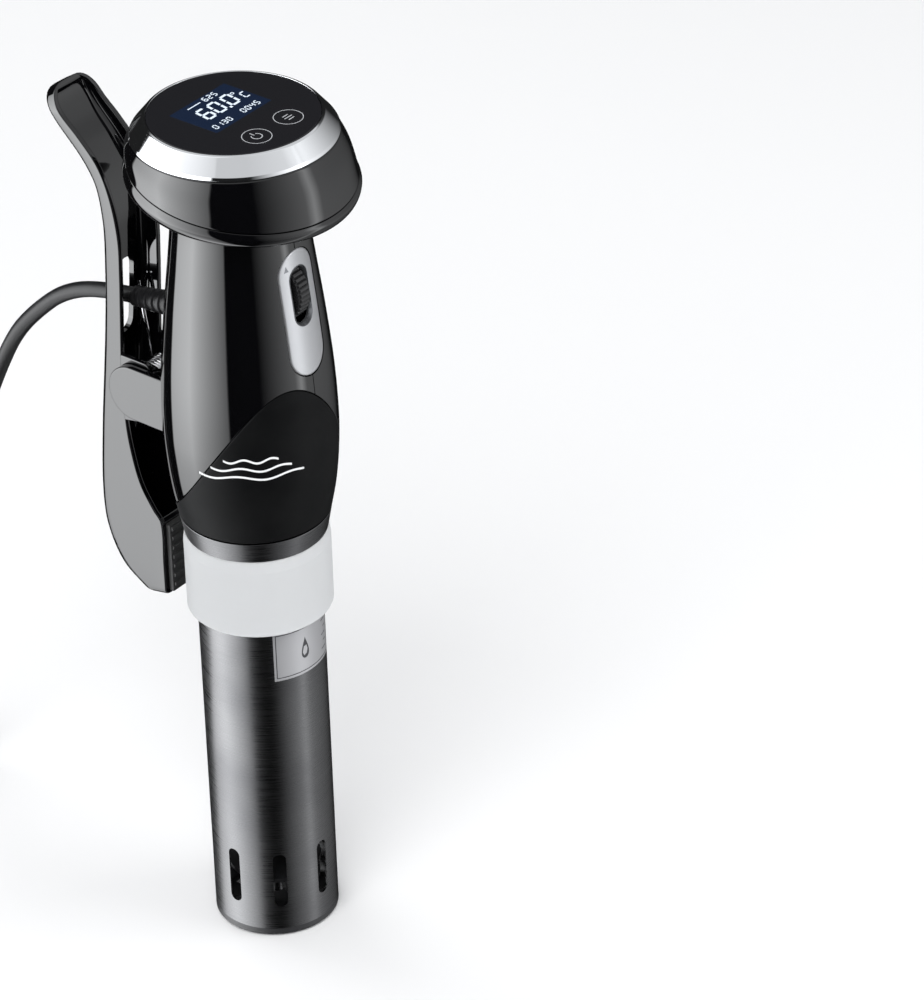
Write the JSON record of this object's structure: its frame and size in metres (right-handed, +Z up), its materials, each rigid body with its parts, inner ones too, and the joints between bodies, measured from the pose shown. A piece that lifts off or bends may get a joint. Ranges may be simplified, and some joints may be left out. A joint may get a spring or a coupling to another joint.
{
  "type": "immersion circulator",
  "caption": "Stick immersion circulator with a slanted round display head, thumb wheel, soft grip, light ring, steel tube, sprung pot clamp and mains cord.",
  "frame": {"origin": "centre of the bottom cap's flat foot, on the stick's axis", "axes": "+Z up the stick to the display, -Y to the front with the thumb wheel, +Y to the clamp and the cord, +X right"},
  "size_m": [0.1433, 0.323, 0.4001],
  "materials": {
    "gloss_black": "polished",
    "soft_black": "soft-touch matte",
    "chrome": "polished",
    "window_black": "dark tinted gloss",
    "lcd_navy": "dark display",
    "satin_silver": "satin",
    "trim_grey": "satin",
    "wheel_black": "satin",
    "steel": "brushed",
    "frosted_white": "frosted translucent",
    "seal_rubber": "matte",
    "cord_black": "satin",
    "spring_steel": "bright wire",
    "dark_plastic": "moulded",
    "board_green": "solder mask",
    "part_metal": "mill",
    "part_yellow": "wound tape",
    "brass_pin": "plated",
    "label_silver": "satin foil"
  },
  "bodies": {
    "stick": {"bottom_cap": "dark_plastic", "skirt_tube": "steel", "shaft_guide": "dark_plastic", "heating_element": "steel", "temperature_probe": "steel", "level_sensors": "steel", "bulkhead": "dark_plastic", "bulkhead_seal": "seal_rubber", "shaft_seal": "seal_rubber", "upper_bearing": "brass_pin", "label_plate": "label_silver", "light_ring": "frosted_white", "led_ring_board": "board_green", "led_chips": "frosted_white", "end_plate": "dark_plastic", "steel_ring": "steel", "motor": "part_metal", "motor_sleeve": "seal_rubber", "motor_screws": "part_metal", "handle_shell_left": "gloss_black", "handle_shell_right": "gloss_black", "grip_boot": "soft_black", "wheel_panel": "satin_silver", "wheel_trim": "trim_grey", "wheel_axle": "steel", "wheel_bracket": "dark_plastic", "power_board": "board_green", "transformer": "part_yellow", "relay": "dark_plastic", "capacitors": "part_metal", "heat_sink": "part_metal", "handle_screws": "steel", "strain_relief": "cord_black", "clamp_bracket": "gloss_black", "bracket_screws": "steel", "pivot_pin": "steel", "torsion_spring": "spring_steel", "head_shell_upper": "gloss_black", "head_shell_lower": "gloss_black", "bezel_ring": "chrome", "window_seal": "seal_rubber", "display_window": "window_black", "lcd_module": "lcd_navy", "control_board": "board_green", "board_screws": "steel", "touch_springs": "spring_steel", "buzzer": "dark_plastic", "cord": "cord_black", "cord_coil": "cord_black", "cord_tail": "cord_black", "plug_body": "cord_black", "plug_pins": "brass_pin"},
    "pump_rotor": {"impeller": "dark_plastic", "impeller_nut": "steel", "drive_shaft": "steel", "shaft_coupling": "part_metal", "motor_shaft": "steel"},
    "thumb_wheel": {"scroll_wheel": "wheel_black"},
    "clamp": {"clamp_lever": "gloss_black", "jaw_pad": "seal_rubber"}
  },
  "joints": [
    {"name": "clamp_hinge", "type": "hinge", "parent": "stick", "child": "clamp", "pos_m": [0, 0.0518, 0.2554], "axis": [1, 0, 0], "range_deg": [-4, 11], "stiffness_Nm_per_rad": 0.6, "deforming": ["torsion_spring"]},
    {"name": "wheel_spin", "type": "hinge", "parent": "stick", "child": "thumb_wheel", "pos_m": [0, -0.0204, 0.324], "axis": [1, 0, 0], "continuous": true},
    {"name": "pump_spin", "type": "hinge", "parent": "stick", "child": "pump_rotor", "pos_m": [0, 0, 0.1], "axis": [0, 0, 1], "continuous": true}
  ]
}
